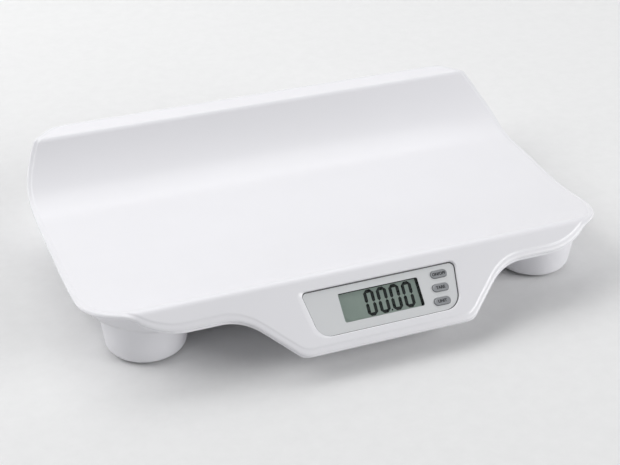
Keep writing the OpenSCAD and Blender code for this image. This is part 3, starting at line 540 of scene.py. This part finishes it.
def build_pod(x0, y0):
    """A pod from the edge of its foot hole, round the bottom and up the wall, flared into the tray."""
    skin = Skin()
    count = 72
    inner, wall_foot = POD_R - POD_EDGE, POD_BASE + POD_EDGE
    section = [(30.0, 9.0), (30.0, 3.6), (30.2, 3.15), (30.6, POD_BASE), (inner, POD_BASE)]
    section += [(inner + POD_EDGE * sin(a), wall_foot - POD_EDGE * cos(a))
                for a in (radians(k * 9) for k in range(1, 11))]
    section += [(POD_R + POD_LEAN * k / 8, wall_foot + POD_H * k / 8) for k in range(1, 9)]
    flare = 0.009
    rows = [[] for _ in range(len(section) + 6)]
    for j in range(count):
        angle = 2 * pi * j / count
        out = Vector((cos(angle), sin(angle), 0))
        reach = (POD_R + POD_LEAN) * mm + flare
        top = under_tray(y0 + out.y * reach, TUCK_PODS)
        points = [(r * mm + SKIN, min(z * mm, top - flare)) for r, z in section]
        below_flare = section[-1][1] * mm < top - flare
        lean = POD_LEAN * mm * (top - flare - wall_foot * mm) / (POD_H * mm)
        r_top = points[-1][0] if below_flare else POD_R * mm + SKIN + lean
        for k, (r, z) in enumerate(points):
            if z >= top - flare - 1e-6:
                points[k] = (r_top, top - flare)
        points += [(r_top + flare * (1 - cos(a)), top - flare + flare * sin(a))
                   for a in (radians(15 * k) for k in range(1, 7))]
        for k, (r, z) in enumerate(points):
            a, b = points[max(k - 1, 0)], points[min(k + 1, len(points) - 1)]
            normal = out * (b[1] - a[1]) - Vector((0, 0, 1)) * (b[0] - a[0])
            if normal.length < 1e-9:
                normal = out
            rows[k].append(skin.add(Vector((x0, y0, z)) + out * r, normal))
    for lower, upper in zip(rows[:-1], rows[1:]):
        skin.band(lower, upper)
    return skin


def build_channel():
    """The channel behind the display face, drawn back into the sloping sides."""
    skin = Skin()
    play, arch_drop, behind_face, reach = 0.002, 0.0054, 0.0048, 0.06
    arch_z = RIDGE_Z - FACE_SIDE * cos(FACE_LEAN) - arch_drop / sin(FACE_LEAN) + play
    foot, shoulder = DISPLAY_FOOT - play, DISPLAY_SHOULDER - play
    corners = [(-foot, PLATE_Z), (foot, PLATE_Z), (shoulder, arch_z), (shoulder, 0.4), (-shoulder, 0.4),
               (-shoulder, arch_z)]
    outline = rounded(corners, [0.022, 0.022, 0.020, 0.001, 0.001, 0.020], SKIN, radians(5), 0.01)
    loop = [p for p in outline if p.y < arch_z + 0.012]
    loop.sort(key=lambda p: atan2(p.x, 0.2 - p.y))
    rows = []
    for k, p in enumerate(loop):
        d = loop[min(k + 1, len(loop) - 1)] - loop[max(k - 1, 0)]
        front = RIDGE_Y - (RIDGE_Z - p.y) * tan(FACE_LEAN) + behind_face / cos(FACE_LEAN)
        row = []
        for step in range(13):
            y = front + (RIDGE_Y + reach - front) * step / 12
            z = min(p.y, under_tray(y, TUCK_CHANNEL)) if y > RIDGE_Y - 0.004 else p.y
            row.append(skin.add(Vector((p.x, y, z)), Vector((d.y, 0, -d.x))))
        rows.append(row)
    for left, right in zip(rows[:-1], rows[1:]):
        skin.band(left, right, closed=False)
    return skin


housing = build_housing_sides().piece("housing_sides", housing_abs, "scale_body")
channel = build_channel().piece("display_channel", housing_abs, "scale_body")
pod_places = {"front_left": (-POD_X, POD_Y[0]), "front_right": (POD_X, POD_Y[0]),
              "back_left": (-POD_X, POD_Y[1]), "back_right": (POD_X, POD_Y[1])}
for name, (x, y) in pod_places.items():
    pod = build_pod(x, y).piece("pod_" + name, housing_abs, "scale_body")
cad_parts["base"].data.materials.clear()
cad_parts["base"].data.materials.append(housing_abs)

# -------------------------------------------
# Display film: a satin polycarbonate sheet, printed pale grey on its back, in the recess of the front face.
# It is cut out over the readout and round the buttons, and lies against the lower left of the recess.
# A dark sheet under its edge shows as a dark line above and at the right: painted shade of the recess
# walls.
# -------------------------------------------
FACE_TURN = Matrix.Rotation(pi / 2 - FACE_LEAN, 4, "X")
FILM_TOP, FILM_T = -0.0021, 0.0009
WINDOW_W, WINDOW_H, WINDOW_S = 0.082, 0.029, 0.0377
CUT_OUT_RIGHT, BUTTON_ROOM = 0.002, 0.0006        # the window's extra width, and the play round a cap
BUTTON_W, BUTTON_H, BUTTON_X, BUTTON_PITCH = 0.0174, 0.0074, 0.0636, 0.0135
PANEL_MID = PANEL_TOP + PANEL_H / 2
film_print = plastic("film_print", (0.71, 0.72, 0.73), (0.69, 0.70, 0.71), roughness=0.32,
                     grain_scale=2600.0, grain_depth=0.6, bump=0.08)


def on_face(x, down, out):
    """Point on the front face: across, down from the sharp ridge, and out of the face."""
    return Vector((0, RIDGE_Y, RIDGE_Z)) + FACE_TURN @ Vector((x, -down, out))


def stadium(width, height, steps=14):
    """Outline of a bar with round ends."""
    points = []
    for side, start in ((1, -pi / 2), (-1, pi / 2)):
        points += [Vector((side * (width - height) / 2 + cos(start + pi * k / steps) * height / 2,
                           sin(start + pi * k / steps) * height / 2)) for k in range(steps + 1)]
    return points


def button_at(k):
    return BUTTON_X + PANEL_TAPER / PANEL_H * k * BUTTON_PITCH, PANEL_MID - k * BUTTON_PITCH


def flat_sheet(outline, holes, place, thickness, edge=0.00012):
    """A thin sheet with softened edges: outline and holes in its own plane, placed by place(x, y, out)."""
    skin = Skin()
    up = (place(0, 0, 1) - place(0, 0, 0)).normalized()
    flat, lines, faces, walls = [], [], [], []
    for number, loop in enumerate([outline] + holes):
        first, count = len(flat), len(loop)
        sign = -1 if number == 0 else 1
        out = outward_of(loop)
        flat += [p + o * sign * edge for p, o in zip(loop, out)]
        lines += [(first + k, first + (k + 1) % count) for k in range(count)]
        faces.append(list(range(first, first + count)))
        walls.append((loop, out, sign, first))
    verts, _, tris, origin, _, face_origin = delaunay_2d_cdt(flat, lines, faces, 1, 1e-8)
    known, source = {}, {}
    for index, sources in enumerate(origin):
        known[index] = skin.add(place(verts[index].x, verts[index].y, 0), up)
        for k in sources:
            source[k] = known[index]
    for tri, sources in zip(tris, face_origin):
        if not any(k > 0 for k in sources):
            skin.faces.append(tuple(known[k] for k in tri))
    for loop, out, sign, first in walls:
        top = [source[first + k] for k in range(len(loop))]
        rings = [top]
        for depth in (edge, thickness):
            ring = []
            for p, o in zip(loop, out):
                across = place(p.x + o.x, p.y + o.y, 0) - place(p.x, p.y, 0)
                normal = across * -sign if depth == thickness else across * -sign + up
                ring.append(skin.add(place(p.x, p.y, -depth), normal))
            rings.append(ring)
        for upper, lower in zip(rings[:-1], rings[1:]):
            skin.band(lower, upper) if sign < 0 else skin.band(upper, lower)
    return skin


def box_loop(width, height, radius):
    w, h = width / 2, height / 2
    return rounded([(-w, -h), (w, -h), (w, h), (-w, h)], [radius] * 4, 0, radians(15), 0.05)


def on_film(x, y, out):
    return on_face(x, PANEL_TOP - y, FILM_TOP + out)


FILM_OFF = Vector((0.0004, 0.0004))               # how far it lies off the middle of the recess
film_outline = [p - FILM_OFF for p in panel_outline(0)]
window_place = Vector((CUT_OUT_RIGHT / 2, PANEL_TOP - WINDOW_S))
film_holes = [[p + window_place for p in box_loop(WINDOW_W + CUT_OUT_RIGHT, WINDOW_H, 0.0018)]]
for k in (-1, 0, 1):
    x, s = button_at(k)
    hole = stadium(BUTTON_W + BUTTON_ROOM, BUTTON_H + BUTTON_ROOM)
    film_holes.append([p + Vector((x, PANEL_TOP - s)) for p in hole])
film = flat_sheet(film_outline, film_holes, on_film, FILM_T)
film = film.piece("display_film", film_print, "scale_body")
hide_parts("display_panel")

# Painted shade: a dark sheet round the film's edge, seen in the gap above and at the right as the recess
# walls' shadow.
shadow_line_sheet = plastic("painted_shadow_line", (0.10, 0.10, 0.105), (0.13, 0.13, 0.135), roughness=0.8,
                    grain_scale=2600.0, bump=0.3)
SHADE_STRIP_TOP, SHADE_STRIP_T, SHADE_STRIP_UNDER = 0.00012, 0.00008, 0.0008   # above the film's back, and under the film
shade_strip = flat_sheet(panel_outline(PANEL_GAP * 0.95), [panel_outline(-SHADE_STRIP_UNDER)],
                  lambda x, y, out: on_film(x, y, SHADE_STRIP_TOP - FILM_T + out), SHADE_STRIP_T, 0.00002)
shade_strip = shade_strip.piece("film_edge_painted_shadow", shadow_line_sheet, "scale_body")

# -------------------------------------------
# Readout: a clear flat window under the film, and behind it the liquid crystal cell, a grey-green
# glass sandwich with dark segments. Four large digits read zero, with a point after the second.
# -------------------------------------------
LENS_T, LENS_TOP, CELL_T, CELL_TOP = 0.0016, -RECESS - 0.00002, 0.0026, -0.0049
PRINT_UP, PRINT_T = 0.00007, 0.00006              # the printed layer above the glass, and its thickness


def clear_plastic(name):
    material, tree, shader = fresh_material(name)
    shader.inputs["Base Color"].default_value = (0.93, 0.96, 0.94, 1)
    shader.inputs["Transmission Weight"].default_value = 1.0
    shader.inputs["IOR"].default_value = 1.3
    surface = tree.nodes.new("ShaderNodeGroup")
    surface.node_tree = moulded_plastic
    tree.links.new(remap(tree, surface.outputs["Smudge"], 0.0, 1.0, 0.03, 0.16), shader.inputs["Roughness"])
    return material


def liquid_crystal():
    """Grey-green reflector seen through the polariser."""
    material, tree, shader = fresh_material("lcd_reflector")
    place = tree.nodes.new("ShaderNodeTexCoord").outputs["Object"]
    mottled = remap(tree, grain(tree, place, 1800, 2, 0.7), 0.3, 0.7)
    drift = remap(tree, grain(tree, place, 30, 2, 0.5), 0.35, 0.65)
    base = mix_colour(tree, mottled, (0.420, 0.495, 0.455), (0.450, 0.525, 0.480))
    deep = mix_colour(tree, drift, base, (0.400, 0.475, 0.435))
    tree.links.new(deep, shader.inputs["Base Color"])
    tree.links.new(remap(tree, mottled, 0, 1, 0.22, 0.32), shader.inputs["Roughness"])
    return material


def lcd_ink_and_shade():
    material, tree, shader = fresh_material("lcd_segments_and_painted_shade")
    place = tree.nodes.new("ShaderNodeTexCoord").outputs["Object"]
    uneven = remap(tree, grain(tree, place, 400, 2, 0.5), 0.3, 0.7)
    ink = mix_colour(tree, uneven, (0.012, 0.015, 0.014), (0.020, 0.024, 0.022))
    tree.links.new(ink, shader.inputs["Base Color"])
    tree.links.new(remap(tree, uneven, 0, 1, 0.25, 0.35), shader.inputs["Roughness"])
    return material


LENS_MORE, CELL_MORE, SHADE_FRAME_MORE = 0.0036, (0.009, 0.008), (0.0084, 0.0074)     # beyond the window
lens_outline = box_loop(WINDOW_W + LENS_MORE, WINDOW_H + LENS_MORE, 0.001)
lens = flat_sheet(lens_outline, [], lambda x, y, out: on_face(x, WINDOW_S - y, LENS_TOP + out), LENS_T)
lens = lens.piece("readout_window", clear_plastic("clear_window"), "scale_body")
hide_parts("display_lens")

cell_outline = box_loop(WINDOW_W + CELL_MORE[0], WINDOW_H + CELL_MORE[1], 0.0008)
cell = flat_sheet(cell_outline, [], lambda x, y, out: on_face(x, WINDOW_S - y, CELL_TOP + out), CELL_T)
cell = cell.piece("liquid_crystal_cell", liquid_crystal(), "scale_body")
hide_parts("lcd_cell")


def bar(skin, ends, width, place, slant):
    """One segment: a bar with pointed ends."""
    (xa, ya), (xb, yb) = ends
    a, b = Vector((xa, ya)), Vector((xb, yb))
    d = (b - a).normalized()
    n = Vector((-d.y, d.x)) * width / 2
    tip = d * width / 2
    loop = [a, a + tip - n, b - tip - n, b, b - tip + n, a + tip + n]
    up = (place(0, 0, 1) - place(0, 0, 0)).normalized()
    top = [skin.add(place(p.x + slant * p.y, p.y, 0), up) for p in loop]
    foot = [skin.add(place(p.x + slant * p.y, p.y, -PRINT_T), up) for p in loop]
    skin.faces.append(tuple(top))
    for k in range(6):
        skin.faces.append((foot[k], foot[(k + 1) % 6], top[(k + 1) % 6], top[k]))


DIGIT_W, DIGIT_H, STROKE, SLANT = 0.0074, 0.0230, 0.0033, 0.03
DIGIT_LEFT, DIGIT_STEP, DIGITS = -0.0137, 0.0133, 4
POINT_AFTER, POINT_GAP, POINT_W, POINT_H = 1, 0.0029, 0.0022, 0.0020
# The six lit segments of a zero, between corners counted across and up
zero = [((0, 2), (1, 2)), ((1, 1), (1, 2)), ((1, 0), (1, 1)), ((0, 0), (1, 0)), ((0, 0), (0, 1)),
        ((0, 1), (0, 2))]
digits = Skin()


def on_cell(x, y, out):
    return on_face(x, WINDOW_S - y, CELL_TOP + PRINT_UP + out)


for number in range(DIGITS):
    left = DIGIT_LEFT + number * DIGIT_STEP
    for segment in zero:
        ends = [(left + DIGIT_W * x, (y - 1) * DIGIT_H / 2) for x, y in segment]
        bar(digits, ends, STROKE, on_cell, SLANT)
    if number == POINT_AFTER:
        middle = left + DIGIT_W + POINT_GAP
        ends = [(middle - POINT_W / 2, -DIGIT_H / 2), (middle + POINT_W / 2, -DIGIT_H / 2)]
        bar(digits, ends, POINT_H, on_cell, SLANT)
# The segments' dark ink also paints the shade frame along the window below.
segment_ink_and_shade = lcd_ink_and_shade()
digits = digits.piece("lcd_digits", segment_ink_and_shade, "scale_body")

# A dark frame printed on the glass round the window, which shows along the right of it: painted shade of
# the window's deep walls
shade_frame_outline = box_loop(WINDOW_W + SHADE_FRAME_MORE[0], WINDOW_H + SHADE_FRAME_MORE[1], 0.0008)
SHADE_FRAME_OFF = Vector((0.0004, 0.0003))
shade_frame_hole = [p - SHADE_FRAME_OFF for p in box_loop(WINDOW_W - 0.0004, WINDOW_H - 0.0006, 0.0008)]
shade_frame = flat_sheet(shade_frame_outline, [shade_frame_hole], on_cell, PRINT_T, 0.00002)
shade_frame = shade_frame.piece("lcd_painted_shade_frame", segment_ink_and_shade, "scale_body")

# -------------------------------------------
# Push buttons: three grey ABS caps with a rounded rim, a dished top and a dark printed word, each in
# a raised ring of the film. A press sinks the cap 0.8 mm on to its contact on the board.
# -------------------------------------------
cap_grey = plastic("button_grey", (0.30, 0.31, 0.325), (0.285, 0.295, 0.31), roughness=0.34,
                   grain_scale=2200.0, grain_depth=0.5, bump=0.1, smudges=1.0)
label_ink = plastic("label_ink", (0.030, 0.032, 0.036), (0.040, 0.042, 0.046), roughness=0.4,
                    grain_scale=3000.0)


def swept_cap(section, x, s, width, height, closed=True):
    """Rings of a stadium at (grow, out) steps in millimetres, closed over the top."""
    skin = Skin()
    rings = []
    for k, (grow, out) in enumerate(section):
        a, b = section[max(k - 1, 0)], section[min(k + 1, len(section) - 1)]
        loop = stadium(width + 2 * grow * mm, height + 2 * grow * mm)
        ring = []
        for p, o in zip(loop, outward_of(loop)):
            across = on_face(o.x, -o.y, 0) - on_face(0, 0, 0)
            up = on_face(0, 0, 1) - on_face(0, 0, 0)
            normal = across * (b[1] - a[1]) - up * (b[0] - a[0])
            ring.append(skin.add(on_face(x + p.x, s - p.y, out * mm), normal))
        rings.append(ring)
    for lower, upper in zip(rings[:-1], rings[1:]):
        skin.band(lower, upper)
    if closed:
        skin.faces.append(tuple(rings[-1]))
    return skin


cap_section = [(0, -5.0), (0, -1.6), (-0.03, -1.35), (-0.14, -1.12), (-0.32, -0.98), (-0.6, -0.92),
               (-0.95, -0.94), (-1.2, -1.03), (-1.4, -1.10), (-2.2, -1.14), (-3.2, -1.15)]
ring_section = [(1.8, -2.13), (1.72, -2.06), (1.5, -1.95), (1.2, -1.86), (0.9, -1.84), (0.6, -1.88),
                (0.42, -1.98), (0.34, -2.15), (0.34, -2.6)]
LABEL_H, LABEL_T, LABEL_BOLD, LABEL_OUT = 0.0040, 0.00002, 0.00018, -0.00110
words = {1: ("power", "ON/OFF"), 0: ("tare", "TARE"), -1: ("unit", "UNIT")}
for k, (name, word) in words.items():
    x, s = button_at(k)
    cap = swept_cap(cap_section, x, s, BUTTON_W, BUTTON_H)
    cap = cap.piece(name + "_cap", cap_grey, name + "_key")
    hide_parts(name + "_button")
    ring = swept_cap(ring_section, x, s, BUTTON_W, BUTTON_H, closed=False)
    ring = ring.piece(name + "_ring", film_print, "scale_body")
    text = bpy.data.curves.new(name + "_word", "FONT")
    text.body = word
    text.align_x = text.align_y = "CENTER"
    text.size = LABEL_H
    text.extrude = LABEL_T
    text.offset = LABEL_BOLD
    text.materials.append(label_ink)
    label = bpy.data.objects.new(name + "_word", text)
    label.matrix_world = Matrix.Translation(on_face(x, s, LABEL_OUT)) @ FACE_TURN
    bpy.context.scene.collection.objects.link(label)
    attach(label, name + "_key")

# -------------------------------------------
# Feet: a pale grey ABS disc in each pod, free to press up on its load cell, with a black rubber
# pad glued underneath.
# -------------------------------------------
foot_grey = plastic("foot_grey_abs", (0.60, 0.61, 0.63), (0.56, 0.57, 0.59), roughness=0.42, smudges=1.0,
                    dust=0.1)
pad_rubber = plastic("foot_rubber", (0.030, 0.030, 0.032), (0.045, 0.044, 0.043), roughness=0.72,
                     rougher=-0.15, grain_scale=1600.0, grain_depth=1.2, bump=0.4, smudges=1.6, dust=0.6)


def lathed(x, y, section, steps=72):
    """A turned piece on an upright axis: (radius, height) in millimetres from the top down or up."""
    skin = Skin()
    rows = []
    for k, (r, z) in enumerate(section):
        a, b = section[max(k - 1, 0)], section[min(k + 1, len(section) - 1)]
        row = []
        for j in range(steps):
            out = Vector((cos(2 * pi * j / steps), sin(2 * pi * j / steps), 0))
            normal = out * (b[1] - a[1]) - Vector((0, 0, 1)) * (b[0] - a[0])
            row.append(skin.add(Vector((x, y, z * mm)) + out * r * mm, normal))
        rows.append(row)
    for lower, upper in zip(rows[:-1], rows[1:]):
        skin.band(lower, upper)
    skin.faces.append(tuple(reversed(rows[0])))
    skin.faces.append(tuple(rows[-1]))
    return skin


foot_section = [(26.2, 1.8), (28.2, 1.8), (28.9, 1.95), (29.35, 2.4), (29.5, 3.0), (29.5, 6.2), (31.3, 6.3),
                (31.4, 6.5), (31.4, 8.1), (31.2, 8.3), (7.2, 8.3), (7, 8.5), (7, 12.9), (6.6, 13)]
pad_section = [(25.2, 0), (25.7, 0.15), (25.95, 0.5), (26, 1.0), (26, 1.8)]
for name, (x, y) in pod_places.items():
    disc = lathed(x, y, foot_section)
    disc = disc.piece("foot_disc_" + name, foot_grey, "scale_body", true_normals=False)
    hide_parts("foot_" + name)
    pad = lathed(x, y, pad_section)
    pad = pad.piece("rubber_pad_" + name, pad_rubber, "scale_body", true_normals=False)
    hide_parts("foot_pad_" + name)
    for piece in (disc, pad):
        edges = piece.modifiers.new("crisp edges", "EDGE_SPLIT")
        edges.split_angle = radians(40)

# -------------------------------------------
# Inner parts, carried over from the solid model: the board and its parts, the key mat and
# contacts, the load cells, leads, screws, batteries and their contacts, and the battery door.
# -------------------------------------------


def brushed_metal(name, colour, roughness):
    """Plated steel with drawn streaks and a little tarnish."""
    material, tree, shader = fresh_material(name)
    shader.inputs["Metallic"].default_value = 1.0
    stretch = tree.nodes.new("ShaderNodeMapping")
    stretch.inputs["Scale"].default_value = (60, 900, 900)
    tree.links.new(tree.nodes.new("ShaderNodeTexCoord").outputs["Object"], stretch.inputs["Vector"])
    streaks = grain(tree, stretch.outputs[0], 1, 3, 0.6)
    dull = tuple(c * 0.72 for c in colour)
    drawn = mix_colour(tree, remap(tree, streaks, 0.35, 0.7), colour, dull)
    tree.links.new(drawn, shader.inputs["Base Color"])
    tree.links.new(remap(tree, streaks, 0.3, 0.7, roughness, roughness + 0.2), shader.inputs["Roughness"])
    relief = tree.nodes.new("ShaderNodeBump")
    relief.inputs["Strength"].default_value = 0.1
    relief.inputs["Distance"].default_value = 0.0001
    tree.links.new(streaks, relief.inputs["Height"])
    tree.links.new(relief.outputs["Normal"], shader.inputs["Normal"])
    return material


board_green = plastic("solder_mask", (0.010, 0.070, 0.030), (0.014, 0.090, 0.038), grain_scale=2000.0)
chip_black = plastic("chip_black", (0.015, 0.015, 0.017), (0.025, 0.025, 0.027), roughness=0.5,
                     grain_scale=2500.0, bump=0.3)
strip_black = plastic("banded_rubber", (0.020, 0.020, 0.022), (0.035, 0.035, 0.037), roughness=0.6,
                      bump=0.3)
frame_white = plastic("frame_white", (0.66, 0.66, 0.65), (0.62, 0.62, 0.61), roughness=0.45)
mat_grey = plastic("silicone_grey", (0.26, 0.265, 0.27), (0.23, 0.235, 0.24), roughness=0.6)
lead_black = plastic("lead_cover", (0.020, 0.020, 0.023), (0.030, 0.030, 0.034), roughness=0.45, bump=0.2)
lead_red = plastic("battery_lead_cover", (0.35, 0.012, 0.012), (0.30, 0.010, 0.010), roughness=0.45,
                   bump=0.2)
sleeve = plastic("battery_sleeve", (0.020, 0.024, 0.030), (0.030, 0.034, 0.042), roughness=0.28,
                 grain_scale=700.0, coat=0.4)
sleeve_pale = plastic("battery_sleeve_pale", (0.16, 0.17, 0.18), (0.14, 0.15, 0.16), roughness=0.28,
                      grain_scale=700.0, coat=0.4)
cell_steel = brushed_metal("load_cell_steel", (0.60, 0.60, 0.62), 0.28)
screw_steel = brushed_metal("zinc_screw", (0.58, 0.59, 0.62), 0.3)
nickel = brushed_metal("nickel_contact", (0.66, 0.62, 0.54), 0.25)

finishes = {"lcd_frame": frame_white, "lcd_connectors": strip_black, "main_board": board_green,
            "board_parts": chip_black, "key_mat": mat_grey, "key_contacts": nickel,
            "board_screws": screw_steel, "cell_screws": screw_steel, "shell_screws": screw_steel,
            "battery_door": housing_abs, "battery_1": sleeve, "battery_2": sleeve_pale,
            "battery_3": sleeve, "battery_4": sleeve_pale, "battery_springs": nickel,
            "battery_plates": nickel, "battery_cable": lead_red}
for place in pod_places:
    finishes["load_cell_" + place] = cell_steel
    finishes["cell_cable_" + place] = lead_black
for node, finish in finishes.items():
    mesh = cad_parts[node].data
    mesh.materials.clear()
    mesh.materials.append(finish)

# -------------------------------------------
# Studio: a pale floor that curves up behind, three large soft boxes, high on the left, high behind
# and low on the right, and the camera where the photograph was taken from.
# -------------------------------------------


def studio_paper():
    material, tree, shader = fresh_material("studio_paper")
    shader.inputs["Roughness"].default_value = 0.9
    place = tree.nodes.new("ShaderNodeTexCoord").outputs["Object"]
    fibres = remap(tree, grain(tree, place, 60, 6, 0.7), 0.3, 0.7)
    paper = mix_colour(tree, fibres, (0.80, 0.80, 0.80), (0.83, 0.83, 0.83))
    tree.links.new(paper, shader.inputs["Base Color"])
    return material


def sweep():
    """Floor and backdrop in one curved sheet."""
    skin = Skin()
    curve = [(1.6 + 0.8 * sin(a), 0.8 - 0.8 * cos(a)) for a in (radians(k * 9) for k in range(11))]
    section = [(-4.0, 0)] + curve + [(2.4, 3.2)]
    rows = [[skin.add(Vector((x, y, z)), Vector((0, 0, 1))) for x in (-5, -2, 0, 2, 5)] for y, z in section]
    for lower, upper in zip(rows[:-1], rows[1:]):
        skin.band(lower, upper, closed=False)
    return skin.object("studio_floor", studio_paper(), true_normals=False)


sweep()


def soft_light(name, place, aim, size, power):
    lamp = bpy.data.lights.new(name, "AREA")
    lamp.shape = "RECTANGLE"
    lamp.size, lamp.size_y = size
    lamp.energy = power
    light = bpy.data.objects.new(name, lamp)
    light.location = place
    light.rotation_euler = (Vector(aim) - Vector(place)).to_track_quat("-Z", "Y").to_euler()
    bpy.context.scene.collection.objects.link(light)


soft_light("high_left", (-2.2, 0.8, 2.2), (0, 0, 0.05), (2.6, 2.6), 60)
soft_light("high_back", (0.1, 1.6, 2.6), (0, 0, 0), (3.2, 1.8), 30)
soft_light("low_right", (2.6, -1.9, 1.3), (0.1, 0, 0.05), (2.4, 1.8), 74)
world = bpy.data.worlds.new("studio")
world.use_nodes = True
world.node_tree.nodes["Background"].inputs["Color"].default_value = (0.95, 0.97, 1.0, 1)
world.node_tree.nodes["Background"].inputs["Strength"].default_value = 0.18
bpy.context.scene.world = world
bpy.context.scene.view_settings.view_transform = "Standard"

optics = bpy.data.cameras.new("camera")
optics.sensor_width, optics.lens, optics.clip_end = 36, 76.52, 20
camera = bpy.data.objects.new("camera", optics)
bpy.context.scene.collection.objects.link(camera)
right, up = Vector((0.92740777, -0.37405191, 0)), Vector((0.19792338, 0.49072247, 0.84853862))
forward, roll = Vector((0.31739749, 0.78694131, -0.52913345)), radians(-0.805)
across, upward = right * cos(roll) - up * sin(roll), right * sin(roll) + up * cos(roll)
turned = Matrix((across, upward, -forward)).transposed().to_4x4()
camera_place = Vector((-0.45505, -0.96996, 0.70037)) + Vector((0, RIDGE_Y, RIDGE_Z))
camera.matrix_world = Matrix.Translation(camera_place) @ turned
bpy.context.scene.camera = camera
